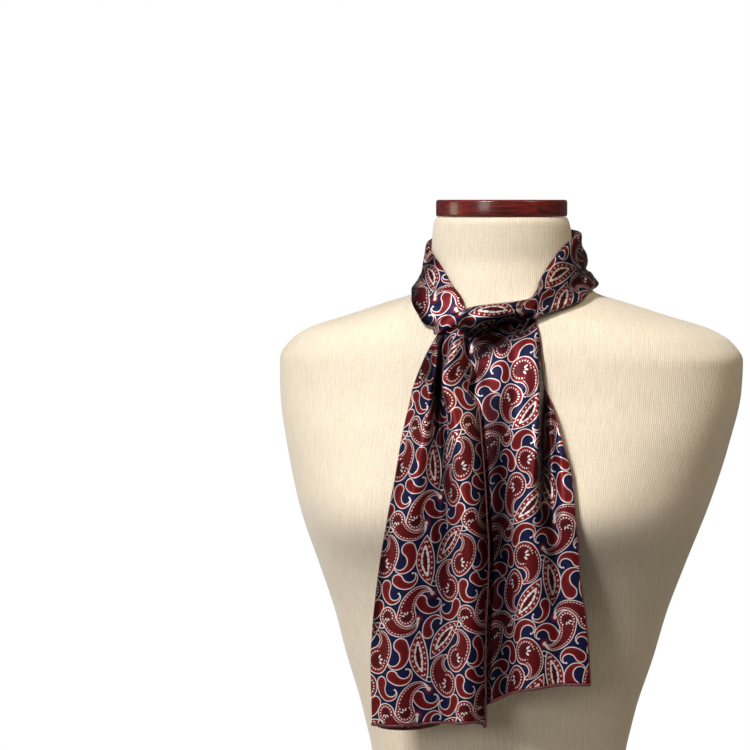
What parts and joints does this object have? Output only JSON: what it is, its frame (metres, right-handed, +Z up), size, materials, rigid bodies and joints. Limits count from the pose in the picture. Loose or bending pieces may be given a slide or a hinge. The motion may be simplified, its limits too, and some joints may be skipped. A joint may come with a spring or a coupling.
{
  "type": "oblong silk scarf on a dress form",
  "caption": "Paisley silk oblong scarf wound round the neck of a limbless dress form and crossed over itself in front, its rolled-hem tails hanging on the chest.",
  "frame": {"origin": "centre of the form's flat underside", "axes": "+Z up, the form's front towards -Y, +X to the right as seen from the front"},
  "size_m": [0.396, 0.2729, 0.72],
  "materials": {
    "jersey": "matte ribbed cream jersey",
    "mahogany": "glossy red-brown lacquer",
    "silk": "soft sheen silk twill printed with paisleys in red, maroon, navy and off-white",
    "hem": "rolled silk hem in dark maroon"
  },
  "bodies": {
    "root": {"dress_form_torso": "jersey", "neck_cap": "mahogany", "scarf_neck_loop": "silk", "scarf_front_band": "silk", "scarf_knot_wrap": "silk", "scarf_left_tail": "silk", "scarf_right_tail": "silk", "left_tail_hem": "hem", "right_tail_hem": "hem"}
  },
  "joints": []
}
